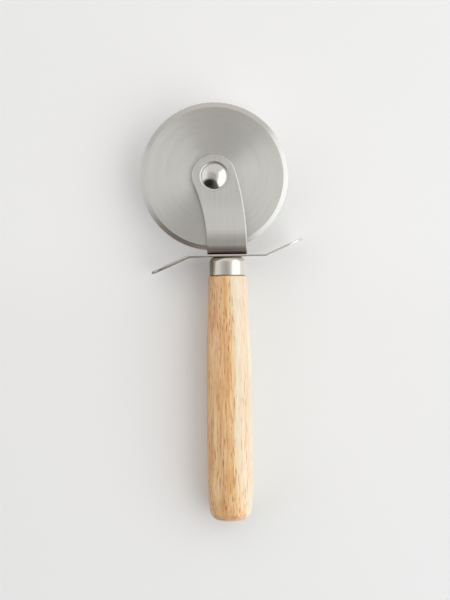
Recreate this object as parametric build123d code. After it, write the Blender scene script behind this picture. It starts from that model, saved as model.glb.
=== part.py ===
from build123d import *
from math import cos, radians, sin, sqrt, tan
import os

# A pizza cutter with a turned wooden handle, lying on its side as on a table. All sizes are in millimetres.
# The handle's axis is the Y axis, and its butt points to -Y. The wheel spins about an axis along Z,
# with the bent arm on its upper, +Z side. The origin is on the handle's axis, half way along its
# straight stretch. Distances called "down" run from the wheel's axle towards the butt.

# Shared by several pieces
overrun = 2.0  # how far a cut or a trimming block runs past the metal or wood
seat_clearance = 0.02  # radial gap round a shank that is riveted or pressed into its hole
edge_radius = 0.35  # tumbled edges of the two bent sheets
smooth_angle = 12.0  # degrees; faces that meet at less than this run into each other

# Cutting wheel
wheel_diameter = 70.0
wheel_thickness = 1.2
bevel_width = 2.2
edge_land = 0.16  # what the grinding leaves at the rim
wheel_rise = 3.8  # the wheel's middle lies this far above the handle's axis
running_clearance = 0.05  # radial gap between the wheel's bore and the rivet

# Axle rivet and the two washers beside the wheel
shank_diameter = 6.0
head_diameter = 12.0
head_height = 2.8
tail_diameter = 9.0
tail_height = 1.4
spacer_diameter = 14.0
spacer_thickness = 0.6
back_washer_diameter = 12.0
back_washer_thickness = 0.8
washer_edge = 0.12  # chamfer round both washers
end_float = 0.05  # gap between the wheel and each washer

# Arm: one bent sheet with a round end at the axle and a foot against the finger guard
arm_thickness = 1.2
arm_width = 18.8
arm_end_diameter = 20.9
arm_offset = 5.7  # sideways distance between the axle and the handle's axis
crank_start = 13.0  # down from the axle
crank_angle = 8.0  # degrees
crank_radius = 45.0
dip_length = 8.0  # before the foot, where the arm stops rising and dips a little
dip_angle = 3.0  # degrees
dip_radius = 35.0
bend_radius = 3.4  # inside the right-angle bend
rim_clearance = 0.7  # between the wheel's rim and the foot
foot_drop = 7.0  # from the handle's axis to the foot's lower edge
foot_corner_radius = 4.5
dish_depth = 0.25  # shallow pressing round the rivet's head
dish_diameter = 13.6
dish_slope_width = 0.6

# Finger guard: a strip with two bent wings
guard_thickness = 1.1
guard_height = 16.0
guard_flat_length = 36.4  # between the two bend lines
guard_wing_length = 19.3
guard_wing_angle = 23.5  # degrees
guard_bend_radius = 3.0  # inside each bend
guard_tip_share = 0.97  # of half the height: how round the tips are

# Ferrule: a drawn cup over the handle's neck
ferrule_diameter = 17.0
ferrule_wall = 0.6
ferrule_length = 8.7
ferrule_shoulder_radius = 2.5
ferrule_lip_radius = 0.2

# Tang: a steel rod in the handle, shouldered down to a spigot that is peened over in the foot
tang_diameter = 6.4
tang_length = 56.0  # from the shoulder to the tip
spigot_diameter = 4.6
peening_depth = 0.7
tip_chamfer = 1.0
groove_count = 5
groove_pitch = 6.0
groove_width = 1.2
groove_depth = 0.3
first_groove = 14.0  # from the tang's tip

# Handle
neck_clearance = 0.05  # between the turned neck and the inside of the ferrule
glue_gap = 0.06  # radial, round the tang
hole_depth_past_tang = 2.5
top_step = 0.7  # how far the wood stands out past the ferrule
grip_diameter = 21.4
taper_length = 50.0
taper_turn_share = 0.46  # along the taper, where its hollow curve becomes a round one
grip_length = 47.0
butt_length = 19.0
butt_diameter = 18.2  # across the butt's rim before it is rounded
butt_edge_radius = 4.5
butt_crown = 0.4
drill_point_share = 0.6  # depth of the drilled hole's cone, as a share of its radius

# Places down from the axle, worked out from the sizes above
foot_face = wheel_diameter / 2 + rim_clearance
guard_face = foot_face + arm_thickness
ferrule_face = guard_face + guard_thickness
handle_top = ferrule_face + ferrule_length
grip_top = handle_top + taper_length
axle_y = grip_top + grip_length / 2
axle_x = -arm_offset

# Heights in the rivet's stack, above the handle's axis
wheel_top = wheel_rise + wheel_thickness / 2
wheel_bottom = wheel_rise - wheel_thickness / 2
spacer_bottom = wheel_top + end_float
arm_bottom = spacer_bottom + spacer_thickness
arm_top = arm_bottom + arm_thickness
head_seat = arm_top - dish_depth
back_washer_top = wheel_bottom - end_float
tail_seat = back_washer_top - back_washer_thickness


def down(distance):
    """The Y coordinate of a place that lies this far down from the axle."""
    return axle_y - distance


def turned_on_handle(outline):
    """A solid turned about the handle's axis, from lines in the XY plane."""
    return revolve(make_face(outline), axis=Axis.Y, revolution_arc=360)


def turned_on_axle(outline):
    """A solid turned about the axle, from lines in the XZ plane that have the axle at X = 0."""
    solid = revolve(make_face(outline), axis=Axis.Z, revolution_arc=360)
    return Pos(axle_x, axle_y, 0) * solid


def sharp_edges(solid):
    """The edges where two faces meet at a real corner, and not where one runs into the next."""
    faces = solid.faces()
    sharp = ShapeList()
    for edge in solid.edges():
        pair = [face for face in faces if edge in face.edges()]
        middle = edge @ 0.5
        if len(pair) == 2 and pair[0].normal_at(middle).get_angle(pair[1].normal_at(middle)) > smooth_angle:
            sharp.append(edge)
    return sharp


def bent_strip(points, radii, thickness, width, across):
    """A sheet bent along the line of its middle; across is the direction of its width."""
    middle = FilletPolyline(*points, radius=radii)
    start = Plane(origin=middle @ 0, x_dir=across, z_dir=middle % 0)
    return sweep(start * Rectangle(width, thickness), path=middle)


def washer(diameter, low, high):
    """A flat washer on the rivet's shank, with both outer edges broken."""
    bore = shank_diameter / 2 + seat_clearance
    rim = diameter / 2
    outline = Polyline(
        (bore, 0, low),
        (rim - washer_edge, 0, low),
        (rim, 0, low + washer_edge),
        (rim, 0, high - washer_edge),
        (rim - washer_edge, 0, high),
        (bore, 0, high),
        close=True,
    )
    return turned_on_axle(outline)


def make_cutting_wheel():
    """The disc, ground from both faces to a thin land at the rim."""
    bore = shank_diameter / 2 + running_clearance
    rim = wheel_diameter / 2
    outline = Polyline(
        (bore, 0, wheel_bottom),
        (rim - bevel_width, 0, wheel_bottom),
        (rim, 0, wheel_rise - edge_land / 2),
        (rim, 0, wheel_rise + edge_land / 2),
        (rim - bevel_width, 0, wheel_top),
        (bore, 0, wheel_top),
        close=True,
    )
    return turned_on_axle(outline)


def make_spacer_washer():
    """Keeps the arm off the wheel."""
    return washer(spacer_diameter, spacer_bottom, arm_bottom)


def make_back_washer():
    """Lies between the wheel and the rivet's closed end."""
    return washer(back_washer_diameter, tail_seat, back_washer_top)


def cap(radius, seat, height):
    """The curved line of a low dome, from its crown on the axis to its rim."""
    dome_radius = (radius**2 + height**2) / (2 * abs(height))
    turn = sqrt(2) / 2 * radius
    drop = dome_radius - sqrt(dome_radius**2 - turn**2)
    way = height / abs(height)
    return ThreePointArc((0, 0, seat + height), (turn, 0, seat + height - way * drop), (radius, 0, seat))


def make_axle_rivet():
    """A domed head in the arm's dish, a plain shank, and a low closed end on the back."""
    shank = shank_diameter / 2
    head = cap(head_diameter / 2, head_seat, head_height)
    tail = cap(tail_diameter / 2, tail_seat, -tail_height)
    side = Polyline(head @ 1, (shank, 0, head_seat), (shank, 0, tail_seat), tail @ 1)
    axis_line = Line(tail @ 0, head @ 0)
    return turned_on_axle([head, side, tail, axis_line])


def arm_outline(foot_line):
    """The arm seen from above: a round end, and two sides that sweep from it to the foot.

    Each side is an arc that leaves the foot parallel to the handle and meets the round end smoothly.
    """
    half = arm_width / 2
    end = arm_end_diameter / 2
    bend_line = foot_face - bend_radius
    # An arc through the side's lower point, with its middle level with that point, touches the round
    # end from outside on the right and from inside on the left. That gives its radius.
    right_reach = arm_offset + half
    right_radius = (right_reach**2 + bend_line**2 - end**2) / (2 * (right_reach - end))
    left_reach = arm_offset - half
    left_radius = (left_reach**2 + bend_line**2 - end**2) / (2 * (left_reach + end))
    axle = Vector(axle_x, axle_y)
    right_middle = Vector(half - right_radius, down(bend_line))
    left_middle = Vector(-half - left_radius, down(bend_line))
    right_touch = axle + (axle - right_middle).normalized() * end
    left_touch = axle + (left_middle - axle).normalized() * end
    crown = axle + Vector(0, end)
    right_side = TangentArc((half, down(bend_line)), right_touch, tangent=(0, 1))
    left_side = TangentArc((-half, down(bend_line)), left_touch, tangent=(0, 1))
    round_end = ThreePointArc(right_touch, crown, left_touch)
    foot = Polyline(
        (half, down(bend_line)),
        (half, down(foot_line)),
        (-half, down(foot_line)),
        (-half, down(bend_line)),
    )
    return make_face([right_side, round_end, left_side, foot])


def make_arm():
    """The bent arm: flat at the rivet, cranked away from the wheel, then turned down past its rim.

    Just before it turns down, the arm levels off and dips a little.
    """
    middle_height = arm_bottom + arm_thickness / 2
    foot_middle = foot_face + arm_thickness / 2
    far_end = arm_end_diameter / 2 + overrun
    dip_start = foot_middle - dip_length
    rise = (dip_start - crank_start) * tan(radians(crank_angle))
    dip = dip_length * tan(radians(dip_angle))
    points = [
        (0, down(-far_end), middle_height),
        (0, down(crank_start), middle_height),
        (0, down(dip_start), middle_height + rise),
        (0, down(foot_middle), middle_height + rise - dip),
        (0, down(foot_middle), -foot_drop),
    ]
    radii = [crank_radius, dip_radius, bend_radius + arm_thickness / 2]
    width = arm_end_diameter + arm_width + 2 * arm_offset
    sheet = bent_strip(points, radii, arm_thickness, width, (1, 0, 0))
    outline = Pos(0, 0, -foot_drop - overrun) * arm_outline(guard_face + overrun)
    block = extrude(outline, amount=foot_drop + arm_top + rise + 2 * overrun, dir=(0, 0, 1))
    arm = sheet & block
    corners = arm.edges().filter_by(Axis.Y).sort_by(Axis.Z)[:2]
    arm = fillet(corners, foot_corner_radius)
    arm = fillet(sharp_edges(arm), edge_radius)
    return arm - rivet_hole() - dish() - spigot_hole_in_foot()


def rivet_hole():
    """The hole in the arm's round end."""
    hole = Cylinder(shank_diameter / 2 + seat_clearance, arm_thickness + 2 * overrun)
    return Pos(axle_x, axle_y, (arm_bottom + arm_top) / 2) * hole


def dish():
    """The pressing that the rivet's head sits in, with a sloped rim."""
    rim = dish_diameter / 2
    slope = dish_slope_width / dish_depth
    outline = Polyline(
        (0, 0, head_seat),
        (rim - dish_slope_width, 0, head_seat),
        (rim, 0, arm_top),
        (rim + slope * overrun, 0, arm_top + overrun),
        (0, 0, arm_top + overrun),
        close=True,
    )
    return turned_on_axle(outline)


def spigot_hole_in_foot():
    """The hole for the tang's spigot, countersunk on the wheel's side for the peened end."""
    hole = spigot_diameter / 2 + seat_clearance
    outline = Polyline(
        (0, down(foot_face - overrun)),
        (hole + peening_depth, down(foot_face - overrun)),
        (hole + peening_depth, down(foot_face)),
        (hole, down(foot_face + peening_depth)),
        (hole, down(guard_face + overrun)),
        (0, down(guard_face + overrun)),
        close=True,
    )
    return turned_on_handle(outline)


def make_finger_guard():
    """A flat strip with one wing bent towards the handle and the other towards the wheel."""
    half = guard_flat_length / 2
    middle = guard_face + guard_thickness / 2
    reach = half + guard_wing_length * cos(radians(guard_wing_angle))
    swing = guard_wing_length * sin(radians(guard_wing_angle))
    points = [
        (-reach, down(middle + swing), 0),
        (-half, down(middle), 0),
        (half, down(middle), 0),
        (reach, down(middle - swing), 0),
    ]
    bend = guard_bend_radius + guard_thickness / 2
    strip = bent_strip(points, [bend, bend], guard_thickness, guard_height, (0, 0, 1))
    corners = [edge for edge in strip.edges() if abs(edge.length - guard_thickness) < seat_clearance]
    strip = fillet(corners, guard_tip_share * guard_height / 2)
    strip = fillet(sharp_edges(strip), edge_radius)
    hole = Cylinder(spigot_diameter / 2 + seat_clearance, guard_thickness + 2 * overrun)
    return strip - Pos(0, down(middle), 0) * Rot(90, 0, 0) * hole


def make_ferrule():
    """A drawn cup: a thin wall of even thickness with a round shoulder and a hole for the tang."""
    outer = ferrule_diameter / 2
    inner = outer - ferrule_wall
    hole = spigot_diameter / 2 + seat_clearance
    inner_top = ferrule_face + ferrule_wall
    turn = sqrt(2) / 2 * ferrule_shoulder_radius
    inner_radius = ferrule_shoulder_radius - ferrule_wall
    inner_turn = sqrt(2) / 2 * inner_radius
    shoulder = ferrule_face + ferrule_shoulder_radius
    flat = outer - ferrule_shoulder_radius
    outside = ThreePointArc(
        (flat, down(ferrule_face)),
        (flat + turn, down(shoulder - turn)),
        (outer, down(shoulder)),
    )
    inside = ThreePointArc(
        (inner, down(shoulder)),
        (flat + inner_turn, down(shoulder - inner_turn)),
        (flat, down(inner_top)),
    )
    wall = Polyline(outside @ 1, (outer, down(handle_top)), (inner, down(handle_top)), inside @ 0)
    top = Polyline(inside @ 1, (hole, down(inner_top)), (hole, down(ferrule_face)), outside @ 0)
    cup = turned_on_handle([outside, wall, inside, top])
    lip = cup.edges().filter_by(GeomType.CIRCLE).group_by(Axis.Y)[0]
    return fillet(lip, ferrule_lip_radius)


def make_tang():
    """The rod: a spigot peened flush in the foot, a shoulder inside the ferrule, and glue grooves."""
    rod = tang_diameter / 2
    spigot = spigot_diameter / 2
    shoulder = ferrule_face + ferrule_wall
    tip = shoulder + tang_length
    points = [
        (0, down(foot_face)),
        (spigot + peening_depth, down(foot_face)),
        (spigot, down(foot_face + peening_depth)),
        (spigot, down(shoulder)),
        (rod, down(shoulder)),
    ]
    for step in reversed(range(groove_count)):
        lower = tip - first_groove - step * groove_pitch
        upper = lower - groove_width
        points.append((rod, down(upper - groove_depth)))
        points.append((rod - groove_depth, down(upper)))
        points.append((rod - groove_depth, down(lower)))
        points.append((rod, down(lower + groove_depth)))
    points.append((rod, down(tip - tip_chamfer)))
    points.append((rod - tip_chamfer, down(tip)))
    points.append((0, down(tip)))
    return turned_on_handle(Polyline(*points, close=True))


def make_handle():
    """Turned wood: a neck inside the ferrule, a slow taper, a straight grip and a rounded butt."""
    shoulder = ferrule_face + ferrule_wall
    hole = tang_diameter / 2 + glue_gap
    hole_end = shoulder + tang_length + hole_depth_past_tang
    neck = ferrule_diameter / 2 - ferrule_wall - neck_clearance
    neck_top = shoulder + neck_clearance
    neck_round = ferrule_shoulder_radius - ferrule_wall
    top = ferrule_diameter / 2 + top_step
    top_edge = top - neck
    grip = grip_diameter / 2
    grip_end = grip_top + grip_length
    butt_end = grip_end + butt_length
    butt_rim = Vector(butt_diameter / 2, down(butt_end - butt_crown))

    mouth = Line((hole, down(neck_top)), (neck - neck_round, down(neck_top)))
    neck_edge = TangentArc(mouth @ 1, (neck, down(neck_top + neck_round)), tangent=(1, 0))
    neck_side = Line(neck_edge @ 1, (neck, down(handle_top)))
    top_round = TangentArc(neck_side @ 1, (top, down(handle_top + top_edge)), tangent=(1, 0))
    taper_end = Vector(grip, down(grip_top))
    taper_turn = top_round @ 1 + (taper_end - top_round @ 1) * taper_turn_share
    hollow = TangentArc(top_round @ 1, taper_turn, tangent=(0, -1))
    swell = TangentArc(taper_turn, taper_end, tangent=hollow % 1)
    straight = Line(taper_end, (grip, down(grip_end)))
    butt_side = TangentArc(straight @ 1, butt_rim, tangent=(0, -1))
    crown = TangentArc((0, down(butt_end)), butt_rim, tangent=(1, 0))
    bore = Polyline(
        (0, down(butt_end)),
        (0, down(hole_end + drill_point_share * hole)),
        (hole, down(hole_end)),
        (hole, down(neck_top)),
    )
    wood = turned_on_handle(
        [mouth, neck_edge, neck_side, top_round, hollow, swell, straight, butt_side, crown, bore]
    )
    circles = [edge for edge in wood.edges().filter_by(GeomType.CIRCLE) if edge.is_closed]
    rim = ShapeList(circles).sort_by(Axis.Y)[0]
    return fillet(rim, butt_edge_radius)


def save(name, solid):
    """Write one piece to its own file and print its size."""
    export_step(solid, f"parts/{name}.step")
    size = solid.bounding_box().size
    print(f"{name}: {solid.volume:.1f} mm3, {size.X:.2f} x {size.Y:.2f} x {size.Z:.2f} mm")


os.makedirs("parts", exist_ok=True)
save("cutting_wheel", make_cutting_wheel())
save("spacer_washer", make_spacer_washer())
save("back_washer", make_back_washer())
save("axle_rivet", make_axle_rivet())
save("arm", make_arm())
save("finger_guard", make_finger_guard())
save("ferrule", make_ferrule())
save("tang", make_tang())
save("handle", make_handle())
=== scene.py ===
# %% [markdown]
# # A pizza cutter with a turned wooden handle
#
# The cutter lies on its side on a pale table. A brushed steel wheel spins on a domed rivet, held by one
# bent sheet-metal arm. Behind the wheel's rim stand a finger guard, a drawn ferrule and the handle.
#
# The exact model comes first, as a fixed frame. Every Blender piece is then made in metres, in that same
# frame, so nothing has to be fitted afterwards: -Y runs along the handle to its butt, and +Z points from
# the table up to the domed head of the rivet.

# %% Load the frame
from math import asin, cos, pi, radians, sin
import bmesh
import bpy
from mathutils import Matrix, Vector
from mathutils.geometry import intersect_sphere_sphere_2d


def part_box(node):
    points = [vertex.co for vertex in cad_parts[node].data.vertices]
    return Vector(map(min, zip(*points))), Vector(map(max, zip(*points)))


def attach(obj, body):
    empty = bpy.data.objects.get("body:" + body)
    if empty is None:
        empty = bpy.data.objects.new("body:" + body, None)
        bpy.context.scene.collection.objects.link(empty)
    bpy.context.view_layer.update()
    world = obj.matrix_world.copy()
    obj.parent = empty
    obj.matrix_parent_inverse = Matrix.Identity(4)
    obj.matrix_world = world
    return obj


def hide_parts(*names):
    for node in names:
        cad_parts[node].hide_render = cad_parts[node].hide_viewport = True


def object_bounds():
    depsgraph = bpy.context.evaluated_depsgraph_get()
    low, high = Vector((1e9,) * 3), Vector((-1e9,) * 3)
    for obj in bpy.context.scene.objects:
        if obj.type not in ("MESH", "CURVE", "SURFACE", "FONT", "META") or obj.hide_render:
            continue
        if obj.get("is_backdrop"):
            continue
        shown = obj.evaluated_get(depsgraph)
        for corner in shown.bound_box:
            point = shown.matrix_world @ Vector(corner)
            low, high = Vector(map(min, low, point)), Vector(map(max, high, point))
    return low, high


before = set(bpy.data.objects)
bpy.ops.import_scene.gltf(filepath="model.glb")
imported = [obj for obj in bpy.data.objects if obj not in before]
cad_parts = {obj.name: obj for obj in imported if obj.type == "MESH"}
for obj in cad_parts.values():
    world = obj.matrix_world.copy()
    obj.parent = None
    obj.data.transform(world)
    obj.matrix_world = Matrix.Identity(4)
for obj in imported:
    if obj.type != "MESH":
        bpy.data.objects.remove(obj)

cad_low, cad_high = (Vector(corner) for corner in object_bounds())
print("The frame holds", ", ".join(sorted(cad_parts)))
print("Its size is", [round(side * 1000, 1) for side in cad_high - cad_low], "mm")

# %% [markdown]
# ## Places read from the frame
#
# A few places are needed again and again: where the axle stands, how big the wheel is, and where each
# piece along the handle begins and ends. They are read from the frame's boxes, so the looks follow the
# exact model if it ever changes.

# %% Read the places
MM = 0.001
wheel_low, wheel_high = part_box("cutting_wheel")
axle = (wheel_low + wheel_high) / 2
wheel_radius = (wheel_high.x - wheel_low.x) / 2
table_height = cad_low.z
print("The axle stands at", [round(value * 1000, 2) for value in axle], "mm")
print("The wheel's radius is", round(wheel_radius * 1000, 2), "mm")

# %% [markdown]
# ## The camera
#
# The photograph looks straight down on the cutter. A long lens from about two thirds of a metre gives
# its mild perspective. The object leans a little in the picture, so the camera is rolled by the same
# angle the other way.

# %% Place the camera
FRAME_HEIGHT = 600
PIXELS_PER_METRE = 2120
LENS = 85
SENSOR = 36
LEAN = radians(0.85)
view_height = FRAME_HEIGHT / PIXELS_PER_METRE
camera_distance = view_height * LENS / SENSOR
view_centre = axle + Vector((4.31, -58.36, 0)) * MM

camera_data = bpy.data.cameras.new("overhead_camera")
camera_data.lens = LENS
camera_data.sensor_width = SENSOR
camera = bpy.data.objects.new("overhead_camera", camera_data)
camera.location = (view_centre.x, view_centre.y, wheel_high.z + camera_distance)
camera.rotation_euler = (0, 0, -LEAN)
bpy.context.scene.collection.objects.link(camera)
bpy.context.scene.camera = camera
bpy.context.scene.view_settings.view_transform = "Standard"
print("The camera hangs", round(camera_distance * 1000), "mm above the wheel")

# %% [markdown]
# ## Helpers for node trees
#
# Materials are built from nodes in code. Two short helpers keep that readable: one adds a node and sets
# its options, the other joins an output to an input or writes a plain value into it.

# %% Add and connect nodes
def add(tree, kind, **options):
    """Add a node of this kind to the tree and set its options."""
    node = tree.nodes.new("ShaderNode" + kind)
    for name, value in options.items():
        setattr(node, name, value)
    return node


def feed(tree, source, socket):
    """Join an output to the socket, or write a plain value into it."""
    if isinstance(source, bpy.types.NodeSocket):
        tree.links.new(source, socket)
    else:
        socket.default_value = source


def maths(tree, operation, first, second=0.0, clamp=False):
    """The output of a Math node."""
    node = add(tree, "Math", operation=operation, use_clamp=clamp)
    feed(tree, first, node.inputs[0])
    feed(tree, second, node.inputs[1])
    return node.outputs[0]


def remap(tree, value, low, high, new_low=0.0, new_high=1.0, smooth=True):
    """The output of a Map Range node, smooth at both ends unless told otherwise."""
    node = add(tree, "MapRange", interpolation_type="SMOOTHSTEP" if smooth else "LINEAR")
    feed(tree, value, node.inputs["Value"])
    for name, number in (("From Min", low), ("From Max", high), ("To Min", new_low), ("To Max", new_high)):
        feed(tree, number, node.inputs[name])
    return node.outputs["Result"]


def mix_colour(tree, amount, first, second, blend="MIX"):
    """The output of a colour Mix node."""
    node = add(tree, "Mix", data_type="RGBA", blend_type=blend)
    feed(tree, amount, node.inputs[0])
    feed(tree, first, node.inputs[6])
    feed(tree, second, node.inputs[7])
    return node.outputs[2]


def split(tree, vector):
    """The three parts of a vector."""
    node = add(tree, "SeparateXYZ")
    feed(tree, vector, node.inputs[0])
    return node.outputs


def join(tree, x, y, z):
    """A vector from three parts."""
    node = add(tree, "CombineXYZ")
    for part, socket in zip((x, y, z), node.inputs):
        feed(tree, part, socket)
    return node.outputs[0]


def stretch(tree, vector, scale):
    """The vector, multiplied part by part."""
    node = add(tree, "VectorMath", operation="MULTIPLY")
    feed(tree, vector, node.inputs[0])
    feed(tree, scale, node.inputs[1])
    return node.outputs[0]


def noise(tree, vector, detail=2.0, roughness=0.5, distortion=0.0):
    """The grey output of a noise texture whose scale is already in the vector."""
    node = add(tree, "TexNoise")
    feed(tree, vector, node.inputs["Vector"])
    for name, number in (
        ("Scale", 1.0), ("Detail", detail), ("Roughness", roughness), ("Distortion", distortion),
    ):
        feed(tree, number, node.inputs[name])
    return node.outputs["Fac"]


def grey(value):
    """A colour with three equal parts."""
    return (value, value, value, 1.0)


# %% [markdown]
# ## The room
#
# Metal has no look of its own: it shows the room. The dome of the rivet is a map of this one. A tall soft
# window stands on the right, the left wall is pale, the ceiling is grey with a duller patch overhead, and
# behind the handle's butt the room is dark. Straight above, the camera's rig takes some light away. The
# window is an area lamp, which also throws the soft shadows. The rest is the world's background, painted
# by direction. It is nearly black behind the window, because a lamp doesn't hide what is behind it.

# %% Directions and the window's place
WINDOW_AZIMUTH = radians(-10)
WINDOW_DISTANCE = 1.0
WINDOW_WIDTH = 2.7
WINDOW_HEIGHT = 1.85
WINDOW_LIGHT = 1.58


def toward(azimuth, elevation):
    """A unit vector that points this way: azimuth 0 is +X, and 90 degrees is +Y."""
    return Vector((cos(azimuth) * cos(elevation), sin(azimuth) * cos(elevation), sin(elevation)))


def along(tree, direction, way):
    """How much of a direction lies along this way."""
    node = add(tree, "VectorMath", operation="DOT_PRODUCT")
    feed(tree, direction, node.inputs[0])
    feed(tree, way, node.inputs[1])
    return node.outputs["Value"]


# %% [markdown]
# Each wall is a soft ramp of the direction. The window's place in the room is found by looking at a
# direction from the window's side: how far it goes aside and up for each step towards the glass.

# %% Paint the room
CEILING = 0.91
OVERHEAD = 0.74  # the share of the ceiling's light that is left in the dull patch
OVERHEAD_WAY = toward(pi, radians(72))
OVERHEAD_EDGE = (0.76, 0.95)  # cosines of the angle from its way, where the patch ends and where it is full
PALE_WALL = 0.28  # added on the left, near the horizon
FAR_WALL = 0.06  # added beyond the wheel
DARKNESS = 0.03  # the share of light that is left on the dark side
DUSK = 0.20  # the same share, towards the window
DARK_WAY = toward(radians(-108), radians(20))
DARK_EDGE = (0.52, 0.76)
BEHIND_WINDOW = 0.15
RIG = 0.80  # the share of light that the camera's rig leaves straight above
RIG_WAY = toward(radians(-110), radians(84))
RIG_EDGE = (0.90, 0.99)
SIDE_TINT = (1.0, 1.0, 0.99, 1.0)
ROOM_TINT = (1.0, 0.965, 0.92, 1.0)
BACKDROP = 0.84


def window_mask(tree, direction):
    """1 where the direction meets the window and 0 elsewhere, with soft borders."""
    ahead = maths(tree, "MAXIMUM", along(tree, direction, toward(WINDOW_AZIMUTH, 0)), 0.001)
    aside = maths(tree, "ABSOLUTE", along(tree, direction, toward(WINDOW_AZIMUTH + pi / 2, 0)))
    wide = WINDOW_WIDTH / 2 / WINDOW_DISTANCE
    high = WINDOW_HEIGHT / WINDOW_DISTANCE
    in_width = remap(tree, maths(tree, "DIVIDE", aside, ahead), wide * 0.9, wide * 1.05, 1.0, 0.0)
    rise = maths(tree, "DIVIDE", split(tree, direction)[2], ahead)
    in_height = remap(tree, rise, high * 0.9, high * 1.08, 1.0, 0.0)
    return maths(tree, "MULTIPLY", in_width, in_height)


def paint_room():
    world = bpy.data.worlds.new("studio_room")
    world.use_nodes = True
    tree = world.node_tree
    tree.nodes.clear()
    direction = add(tree, "TexCoord").outputs["Generated"]
    x, y, z = split(tree, direction)
    leftwards = maths(tree, "MULTIPLY", x, -1.0)
    overhead = remap(tree, along(tree, direction, OVERHEAD_WAY), *OVERHEAD_EDGE, 1.0, OVERHEAD)
    light = maths(tree, "MULTIPLY", overhead, CEILING)
    light = maths(tree, "ADD", light, remap(tree, leftwards, 0.5, 0.85, 0.0, PALE_WALL))
    light = maths(tree, "ADD", light, remap(tree, y, 0.4, 0.9, 0.0, FAR_WALL))
    share = remap(tree, x, -0.4, 0.4, DARKNESS, DUSK)
    for left in (
        remap(tree, along(tree, direction, DARK_WAY), *DARK_EDGE, 1.0, share),
        remap(tree, window_mask(tree, direction), 0.0, 1.0, 1.0, BEHIND_WINDOW),
        remap(tree, along(tree, direction, RIG_WAY), *RIG_EDGE, 1.0, RIG),
    ):
        light = maths(tree, "MULTIPLY", light, left)
    sideways = remap(tree, maths(tree, "ABSOLUTE", x), 0.1, 0.7)
    tint = mix_colour(tree, sideways, ROOM_TINT, SIDE_TINT)
    room = add(tree, "Background")
    feed(tree, tint, room.inputs["Color"])
    feed(tree, light, room.inputs["Strength"])
    backdrop = add(tree, "Background")
    backdrop.inputs["Color"].default_value = grey(BACKDROP)
    choose = add(tree, "MixShader")
    feed(tree, add(tree, "LightPath").outputs["Is Camera Ray"], choose.inputs[0])
    feed(tree, room.outputs[0], choose.inputs[1])
    feed(tree, backdrop.outputs[0], choose.inputs[2])
    feed(tree, choose.outputs[0], add(tree, "OutputWorld").inputs["Surface"])
    return world


bpy.context.scene.world = paint_room()
print("The room's ceiling has a strength of", CEILING)

# %% [markdown]
# The window stands upright on the table's level, like a real window or a big softbox. A lamp's power is
# brightness times area times pi, so its look in the metal stays the same when its size changes.

# %% Hang the window
def hang_window():
    lamp = bpy.data.lights.new("window_light", "AREA")
    lamp.shape = "RECTANGLE"
    lamp.size = WINDOW_WIDTH
    lamp.size_y = WINDOW_HEIGHT
    lamp.energy = WINDOW_LIGHT * pi * WINDOW_WIDTH * WINDOW_HEIGHT
    window = bpy.data.objects.new("window_light", lamp)
    away = toward(WINDOW_AZIMUTH, 0)
    window.location = Vector((view_centre.x, view_centre.y, WINDOW_HEIGHT / 2)) + away * WINDOW_DISTANCE
    window.rotation_euler = away.to_track_quat("Z", "Y").to_euler()
    bpy.context.scene.collection.objects.link(window)
    print("The window gives", round(lamp.energy, 1), "W")


hang_window()

# %% [markdown]
# ## The table
#
# The table is one large pale square at the cutter's lowest point. Its colour is a little under white, so
# the shadows stay visible on it. Its colour is painted paler beyond the wheel and round the middle, which
# is painted light. For the camera a small part of that colour shines by itself, more beside the wheel than
# beside the handle, which keeps the shadows as pale as on the photograph's paper. Behind the window, where
# the lamp gives no light, all of it shines by itself. In the metal the table shows painted light and shade:
# bright towards the window, a dim brownish painted shadow just left of the cutter, and pale again further
# away.

# %% Table paint
TABLE_NEAR = (0.934, 0.945, 0.957, 1.0)
TABLE_FAR = (0.965, 0.968, 0.975, 1.0)
# Painted light: the table's colour is paler round the middle
TABLE_MIDDLE_PAINTED_LIGHT = (1.0, 1.0, 1.0, 1.0)
PALER_ALONG_Y = (-0.10, 0.22)
MIDDLE_REACH = (0.05, 0.17)
MIDDLE_SHARE = 0.6
SHINE_NEAR = 0.04
SHINE_FAR = 0.20
SHINE_ALONG_Y = (0.04, 0.10)
SHINE_IN_METAL = 0.9
# Painted shadow, seen only in the metal: dim and brownish just left of the cutter
TABLE_PAINTED_SHADOW = (0.25, 0.215, 0.18, 1.0)
PAINTED_SHADOW_FROM_LEFT = (-0.10, -0.05)
BRIGHT_TO_RIGHT = (-0.02, 0.012)
TABLE_HALF_SIDE = 3.0
WINDOW_FOOT = 0.1  # how far in front of the window that shine begins


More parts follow.
